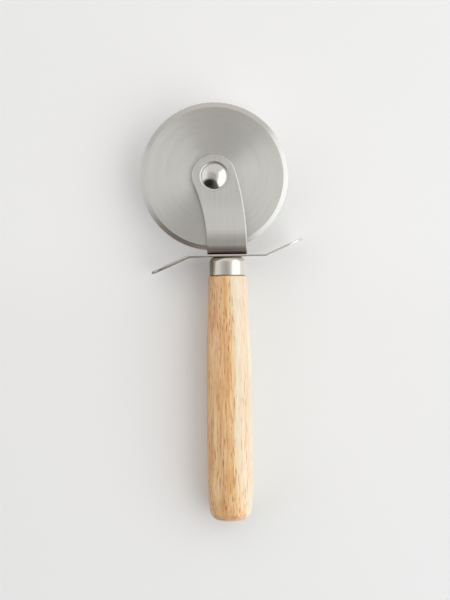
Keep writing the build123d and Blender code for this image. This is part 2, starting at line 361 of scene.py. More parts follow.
def paint_table():
    material = bpy.data.materials.new("table_paint")
    material.use_nodes = True
    tree = material.node_tree
    shader = tree.nodes["Principled BSDF"]
    here = add(tree, "TexCoord").outputs["Object"]
    x, y = split(tree, here)[:2]
    # Painted light: paler beyond the wheel.
    colour = mix_colour(tree, remap(tree, y, *PALER_ALONG_Y, smooth=False), TABLE_NEAR, TABLE_FAR)
    centred = add(tree, "VectorMath", operation="SUBTRACT")
    feed(tree, here, centred.inputs[0])
    feed(tree, Vector((view_centre.x, view_centre.y, 0)), centred.inputs[1])
    reach = add(tree, "VectorMath", operation="LENGTH")
    feed(tree, centred.outputs[0], reach.inputs[0])
    middle = remap(tree, reach.outputs["Value"], *MIDDLE_REACH, MIDDLE_SHARE, 0.0)
    colour = mix_colour(tree, middle, colour, TABLE_MIDDLE_PAINTED_LIGHT)
    feed(tree, colour, shader.inputs["Base Color"])
    shader.inputs["Roughness"].default_value = 0.9
    shader.inputs["Specular IOR Level"].default_value = 0.2
    rays = add(tree, "LightPath").outputs
    own_shine = remap(tree, y, *SHINE_ALONG_Y, SHINE_NEAR, SHINE_FAR)
    ahead = along(tree, centred.outputs[0], toward(WINDOW_AZIMUTH, 0))
    beyond = remap(tree, ahead, WINDOW_DISTANCE - WINDOW_FOOT, WINDOW_DISTANCE)
    own_shine = maths(tree, "MAXIMUM", own_shine, beyond)
    with_painted_shadow = mix_colour(tree, remap(tree, x, *PAINTED_SHADOW_FROM_LEFT), grey(0.9), TABLE_PAINTED_SHADOW)
    seen_in_metal = mix_colour(tree, remap(tree, x, *BRIGHT_TO_RIGHT), with_painted_shadow, grey(1.0))
    for share, shine in (
        (maths(tree, "MULTIPLY", rays["Is Camera Ray"], own_shine), colour),
        (maths(tree, "MULTIPLY", rays["Is Glossy Ray"], SHINE_IN_METAL), seen_in_metal),
    ):
        glow = add(tree, "Emission")
        feed(tree, shine, glow.inputs["Color"])
        blend = add(tree, "MixShader")
        feed(tree, share, blend.inputs[0])
        socket = tree.nodes["Material Output"].inputs["Surface"]
        feed(tree, socket.links[0].from_socket, blend.inputs[1])
        feed(tree, glow.outputs[0], blend.inputs[2])
        feed(tree, blend.outputs[0], socket)
    return material


# %% Lay the table
def lay_table():
    mesh = bpy.data.meshes.new("table")
    shape = bmesh.new()
    bmesh.ops.create_grid(shape, x_segments=1, y_segments=1, size=TABLE_HALF_SIDE)
    bmesh.ops.translate(shape, verts=shape.verts, vec=(0, 0, table_height))
    shape.to_mesh(mesh)
    shape.free()
    table = bpy.data.objects.new("table", mesh)
    bpy.context.scene.collection.objects.link(table)
    mesh.materials.append(paint_table())
    table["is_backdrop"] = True
    print("The table lies at", round(table_height * 1000, 2), "mm")


lay_table()

# %% [markdown]
# ## Brush marks, shared by all the brushed steel
#
# Brushed steel has thousands of fine parallel grooves. They are one effect on several pieces, so they
# are a node group: its Place input gives the distance across the grooves as X and the distance along
# them as Y and Z. Two noises, squeezed across the grooves and drawn out along them, make fine lines and
# the broader bands that the eye sees from a distance.

# %% Brush marks group
def group_tree(name, inputs, outputs):
    """A shader node group with these named sockets, each with its kind and first value."""
    tree = bpy.data.node_groups.new(name, "ShaderNodeTree")
    for socket, kind, value in inputs:
        made = tree.interface.new_socket(socket, in_out="INPUT", socket_type="NodeSocket" + kind)
        if value is not None:
            made.default_value = value
    for socket, kind in outputs:
        tree.interface.new_socket(socket, in_out="OUTPUT", socket_type="NodeSocket" + kind)
    return tree, tree.nodes.new("NodeGroupInput").outputs, tree.nodes.new("NodeGroupOutput").inputs


def place_group(tree, group, **values):
    """Put a node group into a tree and feed its inputs by name."""
    node = tree.nodes.new("ShaderNodeGroup")
    node.node_tree = group
    for name, value in values.items():
        feed(tree, value, node.inputs[name.replace("_", " ")])
    return node.outputs


def make_brush_marks():
    tree, given, result = group_tree(
        "brush_marks",
        [
            ("Place", "Vector", None), ("Pitch", "Float", 0.0004),
            ("Run", "Float", 0.02), ("Contrast", "Float", 0.1),
        ],
        [("Tone", "Float"), ("Height", "Float")],
    )
    across = maths(tree, "DIVIDE", 1.0, given["Pitch"])
    along = maths(tree, "DIVIDE", 1.0, given["Run"])
    place = stretch(tree, given["Place"], join(tree, across, along, along))
    fine = noise(tree, place, detail=3.0, roughness=0.7)
    broad = noise(tree, stretch(tree, place, (0.22, 0.5, 0.5)), detail=2.0, roughness=0.6)
    height = maths(tree, "ADD", maths(tree, "MULTIPLY", fine, 0.7), maths(tree, "MULTIPLY", broad, 0.3))
    centred = maths(tree, "MULTIPLY", maths(tree, "SUBTRACT", height, 0.5), 4.0)
    tone = maths(tree, "ADD", maths(tree, "MULTIPLY", centred, given["Contrast"]), 1.0)
    feed(tree, tone, result["Tone"])
    feed(tree, height, result["Height"])
    return tree


brush_marks = make_brush_marks()
print("Made the group", brush_marks.name)

# %% [markdown]
# ## Worn edges and smudges, shared by the steel finishes
#
# Hands and cloths polish the edges of anything that is used. The Bevel node gives the normal of an edge
# as if it were rounded, and where that differs from the real normal, there is an edge. The rounded normal
# also lets an edge catch the window's light. A slow noise adds faint smudges, which make one place a
# little duller than the next.

# %% Wear group
BENT_AWAY = (0.99, 0.85)  # cosines between the two normals, where an edge begins and where it is full


def make_wear():
    tree, given, result = group_tree(
        "wear",
        [("Place", "Vector", None), ("Edge Width", "Float", 0.0004), ("Smudge Size", "Float", 0.012)],
        [("Edge", "Float"), ("Smudge", "Float"), ("Rounded", "Vector")],
    )
    rounded = add(tree, "Bevel", samples=4)
    feed(tree, given["Edge Width"], rounded.inputs["Radius"])
    alike = along(tree, rounded.outputs[0], add(tree, "NewGeometry").outputs["Normal"])
    size = maths(tree, "DIVIDE", 1.0, given["Smudge Size"])
    smudge = noise(tree, stretch(tree, given["Place"], join(tree, size, size, size)), detail=3.0)
    feed(tree, remap(tree, alike, *BENT_AWAY), result["Edge"])
    feed(tree, remap(tree, smudge, 0.35, 0.65), result["Smudge"])
    feed(tree, rounded.outputs[0], result["Rounded"])
    return tree


wear = make_wear()
print("Made the group", wear.name)

# %% [markdown]
# ## Steel
#
# All the steel is the same metal with another surface. A brushed surface smears reflections across its
# grooves, so the shader gets a tangent that points across them, and a strong anisotropy. What a finish
# needs stands in one call, which reads like a recipe.

# %% Steel finishes
STEEL = (0.680, 0.678, 0.655, 1.0)
POLISHED = (0.60, 0.588, 0.562, 1.0)
# Near-white edge colour: edge wear, and on the arm's right edge a painted highlight
EDGE_WEAR_AND_HIGHLIGHT = (0.90, 0.89, 0.87, 1.0)  # where an edge is worn bright


def steel(name, colour, roughness, pitch, run, contrast, relief, across,
          anisotropy=0.0, rotation=0.0, tangent=None, edge=0.0004, rub_and_highlight=0.4, polished=None):
    """A steel finish; across gives the vector for the brush marks, and tangent the smearing direction."""
    material = bpy.data.materials.new(name)
    material.use_nodes = True
    tree = material.node_tree
    shader = tree.nodes["Principled BSDF"]
    shader.inputs["Metallic"].default_value = 1.0
    shader.inputs["Anisotropic"].default_value = anisotropy
    shader.inputs["Anisotropic Rotation"].default_value = rotation
    here = add(tree, "TexCoord").outputs["Object"]
    marks = place_group(
        tree, brush_marks, Place=across(tree, here), Pitch=pitch, Run=run, Contrast=contrast,
    )
    worn = place_group(tree, wear, Place=here, Edge_Width=edge)
    ground = colour(tree, here) if callable(colour) else colour
    toned = mix_colour(tree, 1.0, ground, marks["Tone"], "MULTIPLY")
    # Edges get a near-white colour: wear, and on the arm's right edge a painted highlight.
    rubbed_or_highlit = maths(tree, "MULTIPLY", worn["Edge"], rub_and_highlight(tree, here) if callable(rub_and_highlight) else rub_and_highlight)
    feed(tree, mix_colour(tree, rubbed_or_highlit, toned, EDGE_WEAR_AND_HIGHLIGHT), shader.inputs["Base Color"])
    dull = remap(tree, marks["Height"], 0.3, 0.7, roughness * 0.88, roughness * 1.10)
    dull = maths(tree, "MULTIPLY", dull, remap(tree, worn["Smudge"], 0.0, 1.0, 0.96, 1.06))
    smooth = rubbed_or_highlit if polished is None else maths(tree, "MAXIMUM", rubbed_or_highlit, polished(tree, here))
    dull = maths(tree, "MULTIPLY", dull, remap(tree, smooth, 0.0, 1.0, 1.0, 0.4))
    feed(tree, dull, shader.inputs["Roughness"])
    bump = add(tree, "Bump")
    bump.inputs["Distance"].default_value = relief
    feed(tree, marks["Height"], bump.inputs["Height"])
    feed(tree, worn["Rounded"], bump.inputs["Normal"])
    feed(tree, bump.outputs[0], shader.inputs["Normal"])
    if tangent is not None:
        feed(tree, tangent(tree), shader.inputs["Tangent"])
    print("Mixed the finish", name)
    return material


def smear_along(direction):
    """A tangent that is the same all over the piece and turns with it."""
    def tangent(tree):
        turn = add(tree, "VectorTransform", vector_type="VECTOR", convert_from="OBJECT", convert_to="WORLD")
        turn.inputs[0].default_value = direction
        return turn.outputs[0]
    return tangent


def grooves_across(order):
    """The coordinates in another order, so that the first is the one across the grooves."""
    def across(tree, here):
        parts = split(tree, here)
        return join(tree, *(parts["XYZ".index(letter)] for letter in order))
    return across


# %% [markdown]
# ## A pen and a lathe
#
# The wheel, the rivet, the ferrule and the handle are turned shapes. Each is drawn as half a section with
# a pen: a straight line extrudes the last point, and an arc spins it round a centre. Then the whole line
# is spun round the axis, as on a lathe. Outlines are in millimetres, and the last step sets the finished
# shape down in metres.

# %% Pen and lathe
TURN_STEPS = 192
ON_AXLE = Matrix.Translation((axle.x, axle.y, 0)) @ Matrix.Scale(MM, 4)
ON_HANDLE = Matrix.Rotation(radians(-90), 4, "X") @ Matrix.Scale(MM, 4)
SAME_POINT = 0.0001
SHARP = radians(32)


class HalfSection:
    """Half a section in the plane of radius and height, and the means to turn it into a solid."""

    HOLD = 0.12  # how far from its ends a long line is held straight

    def __init__(self, radius, height):
        self.shape = bmesh.new()
        self.first = self.tip = self.shape.verts.new((radius, 0, height))

    def step(self, place):
        """Extrude the tip to this place."""
        self.tip = bmesh.ops.extrude_vert_indiv(self.shape, verts=[self.tip])["verts"][0]
        self.tip.co = place

    def line(self, radius, height):
        """Draw a straight line to this place, with a support point near each end of a long one."""
        start, end = self.tip.co.copy(), Vector((radius, 0, height))
        length = (end - start).length
        if length > 6 * self.HOLD:
            self.step(start.lerp(end, self.HOLD / length))
            self.step(end.lerp(start, self.HOLD / length))
        self.step(end)
        return self

    def arc(self, radius, height, turn, steps):
        """Draw an arc round this centre; a positive turn runs from the radius towards the height."""
        drawn = bmesh.ops.spin(
            self.shape, geom=[self.tip], cent=(radius, 0, height), axis=(0, -1, 0), angle=turn, steps=steps
        )
        self.tip = [part for part in drawn["geom_last"] if isinstance(part, bmesh.types.BMVert)][0]
        return self

    def close(self):
        """Join the last point to the first, for a ring with a hole."""
        self.shape.edges.new((self.tip, self.first))
        return self

    def turned(self, place):
        """Spin the line into a closed solid and set it down with this matrix."""
        shape = self.shape
        bmesh.ops.spin(
            shape, geom=shape.verts[:] + shape.edges[:], cent=(0, 0, 0), axis=(0, 0, 1),
            angle=2 * pi, steps=TURN_STEPS, use_merge=True,
        )
        bmesh.ops.remove_doubles(shape, verts=shape.verts, dist=SAME_POINT)
        bmesh.ops.recalc_face_normals(shape, faces=shape.faces)
        for face in shape.faces:
            face.smooth = True
        for edge in shape.edges:
            edge.smooth = edge.calc_face_angle() < SHARP
        bmesh.ops.transform(shape, matrix=place, verts=shape.verts)
        return shape


def set_down(name, shape, materials, body, node):
    """Make the finished piece an object that rides on a body and stands for a node of the frame."""
    mesh = bpy.data.meshes.new(name)
    shape.to_mesh(mesh)
    shape.free()
    for material in materials:
        mesh.materials.append(material)
    piece = bpy.data.objects.new(name, mesh)
    bpy.context.scene.collection.objects.link(piece)
    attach(piece, body)
    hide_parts(node)
    print(name, "has", len(mesh.polygons), "faces")
    return piece


# %% [markdown]
# ## The cutting wheel
#
# The wheel is a flat disc, ground to an edge from both faces. Its faces are brushed while they spin, so
# the grooves are rings. Across the grooves is then the distance from the axle, and along them is the way
# round. That smears the window's light into the two pale fans at the sides, with darker fans between.
# The bevel's colour has painted light: a pale painted highlight towards the window, a fainter one on the
# left, and a little brown painted shade on the lower left.

# %% Wheel finishes
RING_RUN = 0.02


def rings_about_axle(tree, here):
    """Across is the distance from the axle; along runs round it, as on a circle of 20 mm."""
    centred = add(tree, "Mapping")
    centred.inputs["Location"].default_value = -axle
    feed(tree, here, centred.inputs["Vector"])
    x, y = split(tree, centred.outputs[0])[:2]
    squares = maths(tree, "ADD", maths(tree, "MULTIPLY", x, x), maths(tree, "MULTIPLY", y, y))
    radius = maths(tree, "SQRT", squares)
    turn = maths(tree, "DIVIDE", RING_RUN, radius)
    return join(tree, radius, maths(tree, "MULTIPLY", x, turn), maths(tree, "MULTIPLY", y, turn))


def round_axle(tree):
    return add(tree, "Tangent", direction_type="RADIAL", axis="Z").outputs[0]


GROUND = (0.60, 0.59, 0.56, 1.0)
# Painted shade on the lower left, a painted highlight towards the window, and a fainter painted reflection
# on the left
GROUND_PAINTED_SHADE = (0.625, 0.57, 0.51, 1.0)
GROUND_PAINTED_HIGHLIGHT = (0.75, 0.755, 0.74, 1.0)
GROUND_PAINTED_REFLECTION = (0.72, 0.715, 0.69, 1.0)


def bevel_painted_light(tree, here):
    """The bevel's colour, with painted light that changes with the way out from the axle."""
    once_round = 1 / RING_RUN
    way = stretch(tree, rings_about_axle(tree, here), (0.0, once_round, once_round))
    x, y = split(tree, way)[1:3]
    way = join(tree, x, y, 0.0)
    colour = GROUND
    for azimuth, edge, other in (
        (240, (0.55, 0.80), GROUND_PAINTED_SHADE),
        (-11, (0.56, 0.77), GROUND_PAINTED_HIGHLIGHT),
        (187.5, (0.809, 0.914), GROUND_PAINTED_REFLECTION),
    ):
        painted_share = remap(tree, along(tree, way, toward(radians(azimuth), 0)), *edge)
        colour = mix_colour(tree, painted_share, colour, other)
    return colour


QUARTER_TURN = 0.25  # from the way round the axle to the way out from it
BRUSH_SKEW = -0.016  # the brush was held a little askew
wheel_steel = steel(
    "wheel_steel", STEEL, roughness=0.38, pitch=0.0005, run=0.02, contrast=0.08, relief=0.000016,
    across=rings_about_axle, anisotropy=0.9, rotation=QUARTER_TURN + BRUSH_SKEW, tangent=round_axle,
)
bevel_steel = steel(
    "bevel_steel", bevel_painted_light, roughness=0.25, pitch=0.0005, run=0.25, contrast=0.02, relief=0.000008,
    across=rings_about_axle, anisotropy=0.8, rotation=QUARTER_TURN, tangent=round_axle, edge=0.0002,
    rub_and_highlight=0.1,
)

# %% [markdown]
# The section is drawn from the bore outwards along the upper face, over the edge, and back below. The
# faces outside the bevel's shoulder get the finer finish of the ground bevel.

# %% Wheel
BORE = 3.05
BEVEL_WIDTH = 2.2
EDGE_LAND = 0.16
wheel_top = wheel_high.z / MM
wheel_bottom = wheel_low.z / MM
wheel_middle = axle.z / MM
rim = wheel_radius / MM


def make_wheel():
    shoulder = rim - BEVEL_WIDTH
    section = HalfSection(BORE, wheel_bottom)
    section.line(BORE, wheel_top).line(shoulder, wheel_top).line(rim, wheel_middle + EDGE_LAND / 2)
    section.line(rim, wheel_middle - EDGE_LAND / 2).line(shoulder, wheel_bottom).close()
    shape = section.turned(ON_AXLE)
    out = Vector((axle.x, axle.y))
    for face in shape.faces:
        ground = (face.calc_center_median().xy - out).length > shoulder * MM
        face.material_index = 1 if ground else 0
    for edge in shape.edges:
        edge.smooth = len({face.material_index for face in edge.link_faces}) == 1 and edge.smooth
    set_down("wheel_disc", shape, [wheel_steel, bevel_steel], "wheel", "cutting_wheel")


make_wheel()

# %% [markdown]
# ## The arm and the finger guard
#
# Both are bent from sheet and brushed before they were bent, so the grooves follow the bends. The frame
# already has their exact shapes with tumbled edges, and they only need their finish. The arm's colour has
# painted shade: a little darker at its round end, and duller and browner towards the bend, first faintly
# and then plainly over the bend itself. The riveting tool has pressed the dish smooth, and a painted
# highlight makes the arm's right edge bright.

# %% Arm and guard finishes
ARM_STEEL = (0.61, 0.606, 0.588, 1.0)
# Painted shade: darker and browner towards and over the bend, and a little darker at the round end
ARM_NEAR_BEND_PAINTED_SHADE = (0.40, 0.384, 0.363, 1.0)
ARM_BEND_PAINTED_SHADE = (0.40, 0.345, 0.315, 1.0)
ARM_TIP_PAINTED_SHADE = (0.53, 0.52, 0.50, 1.0)
DISH_RADIUS = 0.0070
DISH_BORDER = 0.0004
LEAST_RUB = 0.15
arm_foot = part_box("arm")[0].y


def arm_colour_with_painted_shade(tree, here):
    y = split(tree, here)[1]
    colour = ARM_STEEL
    for start, end, other in (
        (axle.y + 0.0050, axle.y + 0.0105, ARM_TIP_PAINTED_SHADE),
        (arm_foot + 0.0125, arm_foot + 0.0055, ARM_NEAR_BEND_PAINTED_SHADE),
        (arm_foot + 0.0045, arm_foot + 0.0030, ARM_BEND_PAINTED_SHADE),
    ):
        colour = mix_colour(tree, remap(tree, y, start, end), colour, other)
    return colour


def dish(tree, here):
    """1 in the dish round the rivet, which the riveting tool pressed smooth."""
    radius = split(tree, rings_about_axle(tree, here))[0]
    return remap(tree, radius, DISH_RADIUS + DISH_BORDER, DISH_RADIUS)


def right_edge_highlight(tree, here):
    """How strongly the arm's edge is painted near-white: a painted highlight on the right, faint wear
    elsewhere.
    """
    x, y = split(tree, here)[:2]
    right = remap(tree, x, -0.002, 0.0)
    below = remap(tree, y, axle.y + 0.0078, axle.y + 0.0066)
    return remap(tree, maths(tree, "MULTIPLY", right, below), 0.0, 1.0, LEAST_RUB, 1.0)


def dress(node, material):
    mesh = bpy.data.objects[node].data
    mesh.materials.clear()
    mesh.materials.append(material)
    print(node, "is now", material.name)


arm_steel = steel(
    "arm_steel", arm_colour_with_painted_shade, roughness=0.38, pitch=0.0005, run=0.05, contrast=0.08, relief=0.00001,
    across=grooves_across("XYZ"), anisotropy=0.85, tangent=smear_along((1.0, 0.02, 0.03)), edge=0.0009,
    rub_and_highlight=right_edge_highlight, polished=dish,
)
guard_steel = steel(
    "guard_steel", STEEL, roughness=0.25, pitch=0.0005, run=0.1, contrast=0.03, relief=0.000003,
    across=grooves_across("ZXY"), anisotropy=0.5, tangent=smear_along((0.03, 0.02, 1.0)),
)
dress("arm", arm_steel)
dress("finger_guard", guard_steel)

# %% [markdown]
# ## The rivet
#
# The axle ends in a low polished dome that sits in the arm's dish. The lathe leaves a small pip in the
# middle of the dome. At the back the closed end is lower, with the dimple that the riveting tool pressed.

# %% Rivet
HEAD_RADIUS = 6.0
HEAD_HEIGHT = 2.8
HEAD_EDGE = 0.18
PIP_RADIUS = 0.6
PIP_DEPTH = 0.12
SHANK_RADIUS = 3.0
TAIL_RADIUS = 4.5
TAIL_HEIGHT = 1.4
DIMPLE_RADIUS = 1.3
DIMPLE_DEPTH = 0.35
rivet_low, rivet_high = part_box("axle_rivet")
rivet_steel = steel(
    "rivet_steel", POLISHED, roughness=0.15, pitch=0.0004, run=0.02, contrast=0.02, relief=0.000002,
    across=rings_about_axle, edge=0.0001,
)


def dome(section, radius, seat, height, inner, steps):
    """Draw a dome's line from its seat to the inner radius near its crown; a negative height hangs."""
    curve = (radius**2 + height**2) / (2 * abs(height))
    way = 1 if height > 0 else -1
    middle = seat + height - way * curve
    whole = asin(radius / curve)
    left = asin(inner / curve)
    section.line(radius, seat)
    return section.arc(0, middle, way * (whole - left), steps)


def make_rivet():
    top = rivet_high.z / MM
    bottom = rivet_low.z / MM
    section = HalfSection(0, bottom + DIMPLE_DEPTH)
    section.line(DIMPLE_RADIUS * 0.6, bottom + DIMPLE_DEPTH)
    tail_curve = (TAIL_RADIUS**2 + TAIL_HEIGHT**2) / (2 * TAIL_HEIGHT)
    middle = bottom + tail_curve
    start = asin(DIMPLE_RADIUS / tail_curve)
    section.line(DIMPLE_RADIUS, middle - tail_curve * cos(start))
    section.arc(0, middle, asin(TAIL_RADIUS / tail_curve) - start, 10)
    section.line(SHANK_RADIUS, bottom + TAIL_HEIGHT).line(SHANK_RADIUS, top - HEAD_HEIGHT)
    section.line(HEAD_RADIUS - HEAD_EDGE, top - HEAD_HEIGHT)
    section.line(HEAD_RADIUS, top - HEAD_HEIGHT + HEAD_EDGE / 2)
    dome(section, HEAD_RADIUS, top - HEAD_HEIGHT + HEAD_EDGE, HEAD_HEIGHT - HEAD_EDGE, PIP_RADIUS, 24)
    section.line(PIP_RADIUS * 0.5, top - PIP_DEPTH).line(0, top - PIP_DEPTH)
    shape = section.turned(ON_AXLE)
    set_down("rivet", shape, [rivet_steel], "handle_assembly", "axle_rivet")


make_rivet()

# %% [markdown]
# ## The ferrule
#
# The ferrule is a cup drawn from thin sheet and turned smooth. It has a round shoulder under the guard
# and a thin lip over the wood. Its section runs up the outside, over the shoulder, in through the hole
# and down the inside. Its right side has a painted highlight, and its left a little brownish painted shade.

# %% Ferrule
WALL = 0.6
SHOULDER = 2.5
SPIGOT_HOLE = 2.32
LIP = 0.2
# Painted light: a brownish painted shade on the left and a painted highlight on the right
PAINTED_SHADE_TO_LEFT = (-0.0046, -0.0022)
PAINTED_HIGHLIGHT_TO_RIGHT = (0.0056, 0.0066)
ferrule_low, ferrule_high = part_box("ferrule")
FERRULE = (0.645, 0.625, 0.585, 1.0)
FERRULE_PAINTED_HIGHLIGHT = (0.75, 0.714, 0.665, 1.0)
FERRULE_PAINTED_SHADE = (0.55, 0.515, 0.445, 1.0)


def ferrule_painted_light(tree, here):
    x = split(tree, here)[0]
    left = mix_colour(tree, remap(tree, x, *PAINTED_SHADE_TO_LEFT), FERRULE_PAINTED_SHADE, FERRULE)
    return mix_colour(tree, remap(tree, x, *PAINTED_HIGHLIGHT_TO_RIGHT), left, FERRULE_PAINTED_HIGHLIGHT)


ferrule_steel = steel(
    "ferrule_steel", ferrule_painted_light, roughness=0.24, pitch=0.0004, run=0.1, contrast=0.03, relief=0.000003,
    across=grooves_across("YXZ"), anisotropy=0.5, tangent=smear_along((0.02, 1.0, 0.03)),
)


def make_ferrule():
    outer = ferrule_high.x / MM
    low = ferrule_low.y / MM
    high = ferrule_high.y / MM
    inner = outer - WALL
    quarter = pi / 2
    section = HalfSection(inner + LIP, low)
    section.line(outer - LIP, low).arc(outer - LIP, low + LIP, quarter, 4)
    section.line(outer, high - SHOULDER).arc(outer - SHOULDER, high - SHOULDER, quarter, 12)
    section.line(SPIGOT_HOLE, high).line(SPIGOT_HOLE, high - WALL).line(outer - SHOULDER, high - WALL)
    section.arc(outer - SHOULDER, high - SHOULDER, -quarter, 8)
    section.line(inner, low + LIP).arc(inner + LIP, low + LIP, quarter, 4)
    shape = section.turned(ON_HANDLE)
    set_down("ferrule_cup", shape, [ferrule_steel], "handle_assembly", "ferrule")


make_ferrule()

# %% [markdown]
# ## The hidden steel
#
# The two washers and the tang are seen only from the side or from behind. They are plain and a little
# duller.

# %% Washers and tang
plain_steel = steel(
    "hidden_steel", STEEL, roughness=0.32, pitch=0.0006, run=0.02, contrast=0.03, relief=0.000003,
    across=grooves_across("XYZ"),
)
for node in ("spacer_washer", "back_washer", "tang"):
    dress(node, plain_steel)

# %% [markdown]
# ## Wood
#
# The handle is turned from a pale hardwood with open vessels. Wood is a solid, so its pattern is built in
# space and the turned surface simply cuts through it: long streaks on the sides, dots on the butt. The
# vessels are the finest part, dark broken lines along the handle. A cell pattern makes them: each cell is
# a long thin grain with its own strength.

# %% Vessels group
def make_vessels():
    tree, given, result = group_tree(
        "vessels",
        [
            ("Place", "Vector", None), ("Spacing", "Float", 0.001),
            ("Length", "Float", 0.008), ("Width", "Float", 0.25),
        ],
        [("Line", "Float")],
    )
    across = maths(tree, "DIVIDE", 1.0, given["Spacing"])
    along = maths(tree, "DIVIDE", 1.0, given["Length"])
    cells = add(tree, "TexVoronoi", feature="F1")
    feed(tree, stretch(tree, given["Place"], join(tree, across, along, across)), cells.inputs["Vector"])
    cells.inputs["Scale"].default_value = 1.0
    strength = split(tree, cells.outputs["Color"])[0]
    reach = maths(tree, "MULTIPLY", given["Width"], remap(tree, strength, 0.1, 1.0, 0.4, 1.0))
    core = remap(tree, cells.outputs["Distance"], maths(tree, "MULTIPLY", reach, 0.4), reach, 1.0, 0.0)
    feed(tree, maths(tree, "MULTIPLY", core, remap(tree, strength, 0.05, 0.5)), result["Line"])
    return tree


vessels = make_vessels()
print("Made the group", vessels.name)

# %% [markdown]
# The growth rings lie round a pith that the handle was cut beside. The grain of a real plank also wanders,
# so the coordinates are first pushed about a little, slowly along the handle and faster across it.

# %% Pith and wandering grain
# The pith lies to the left, so the cream sapwood, which is partly painted highlight, falls on the right.
PITH_X = -0.024
PITH_Z = -0.008


def from_pith(tree, place):
    """How far a point lies from the pith, which leans a little against the handle."""
    x, y, z = split(tree, place)
    side = maths(tree, "SUBTRACT", x, maths(tree, "ADD", PITH_X, maths(tree, "MULTIPLY", y, -0.02)))
    depth = maths(tree, "SUBTRACT", z, maths(tree, "ADD", PITH_Z, maths(tree, "MULTIPLY", y, -0.015)))
    squares = maths(tree, "ADD", maths(tree, "MULTIPLY", side, side), maths(tree, "MULTIPLY", depth, depth))
    return maths(tree, "SQRT", squares)


def wandering(tree, here):
    """The coordinates, pushed about a little so that the grain isn't ruled with a straightedge."""
    drift = add(tree, "TexNoise")
    feed(tree, stretch(tree, here, (60.0, 9.0, 60.0)), drift.inputs["Vector"])
    drift.inputs["Scale"].default_value = 1.0
    drift.inputs["Detail"].default_value = 1.0
    push = add(tree, "VectorMath", operation="SUBTRACT")
    feed(tree, drift.outputs["Color"], push.inputs[0])
    push.inputs[1].default_value = (0.5, 0.5, 0.5)
    bent = add(tree, "VectorMath", operation="ADD")
    feed(tree, here, bent.inputs[0])
    feed(tree, stretch(tree, push.outputs[0], (0.0016, 0.0, 0.0016)), bent.inputs[1])
    return bent.outputs[0]


# %% [markdown]
# The colours run from large to small. The heartwood near the pith is honey-coloured and the sapwood
# further out is cream. The pith lies to the left, so the cream sapwood falls on the handle's right side,
# towards the window, where it is partly painted highlight and its markings are calmer. Golden and rosy
# streaks lie over that, then late-wood rings, streaks of a millimetre, fibres a third as wide, and at last
# the vessels.

# %% Wood colour
SAPWOOD_AND_PAINTED_HIGHLIGHT = (0.87, 0.80, 0.645, 1.0)
HONEY = (0.98, 0.67, 0.365, 1.0)
GOLD = (0.99, 0.74, 0.40, 1.0)
ROSY = (0.86, 0.50, 0.27, 1.0)
LATE_WOOD = (0.84, 0.46, 0.18, 1.0)
STREAK_SHADE = (0.90, 0.77, 0.62, 1.0)
FIBRE_SHADE = (0.84, 0.68, 0.50, 1.0)
VESSEL = (0.46, 0.14, 0.03, 1.0)
RING_WIDTH = 0.0052
GOLD_EDGE = (0.0280, 0.0312)  # distances from the pith
SAP_EDGE = (0.0306, 0.0350)
SAP_WANDER = 0.009
CALM_SAP = 0.65


def grain(tree, place, width, length, detail=2.0):
    """A noise whose grains are this wide and this long, in millimetres."""
    return noise(tree, stretch(tree, place, (1000 / width, 1000 / length, 1000 / width)), detail=detail)


def wood_ground(tree, place):
    """The wood's colour without its vessels, its fibres, and how strongly it may be marked."""
    distance = from_pith(tree, place)
    patches = grain(tree, place, 5.0, 60.0)
    wander = maths(tree, "MULTIPLY", maths(tree, "SUBTRACT", patches, 0.5), SAP_WANDER)
    sap_edge = maths(tree, "ADD", distance, wander)
    warm = mix_colour(tree, remap(tree, grain(tree, place, 7.0, 90.0), 0.42, 0.58), HONEY, GOLD)
    warm = mix_colour(tree, remap(tree, sap_edge, *GOLD_EDGE, 0.0, 0.8), warm, GOLD)
    sap = remap(tree, sap_edge, *SAP_EDGE)
    calm = maths(tree, "SUBTRACT", 1.0, maths(tree, "MULTIPLY", sap, CALM_SAP))
    colour = mix_colour(tree, sap, warm, SAPWOOD_AND_PAINTED_HIGHLIGHT)
    rosy = remap(tree, grain(tree, place, 2.6, 34.0), 0.50, 0.68, 0.0, 0.7)
    colour = mix_colour(tree, maths(tree, "MULTIPLY", rosy, calm), colour, ROSY)
    ring = maths(tree, "FRACT", maths(tree, "DIVIDE", distance, RING_WIDTH))
    late = maths(tree, "MULTIPLY", remap(tree, ring, 0.45, 0.97), remap(tree, ring, 0.97, 1.0, 1.0, 0.0))
    colour = mix_colour(tree, maths(tree, "MULTIPLY", late, 0.22), colour, LATE_WOOD)
    streaks = remap(tree, grain(tree, place, 1.0, 30.0, detail=3.0), 0.58, 0.40, 0.0, 0.9)
    colour = mix_colour(tree, maths(tree, "MULTIPLY", streaks, calm), colour, STREAK_SHADE, "MULTIPLY")
    fibres = grain(tree, place, 0.36, 12.0, detail=3.0)
    shade = maths(tree, "MULTIPLY", remap(tree, fibres, 0.62, 0.40, 0.0, 0.8), calm)
    return mix_colour(tree, shade, colour, FIBRE_SHADE, "MULTIPLY"), fibres, calm


def wood_vessels(tree, place):
    """Long, short and hair-fine vessels, crowded in some streaks and rare in others."""
    lines = None
    for spacing, length, width, strength in (
        (0.0008, 0.016, 0.32, 1.0), (0.0007, 0.010, 0.34, 1.0), (0.0005, 0.006, 0.36, 0.8),
    ):
        kind = place_group(tree, vessels, Place=place, Spacing=spacing, Length=length, Width=width)["Line"]
        kind = maths(tree, "MULTIPLY", kind, strength)
        lines = kind if lines is None else maths(tree, "MAXIMUM", lines, kind)
    crowd = remap(tree, grain(tree, place, 4.0, 28.0), 0.40, 0.58, 0.6, 1.0)
    return maths(tree, "MULTIPLY", lines, crowd)


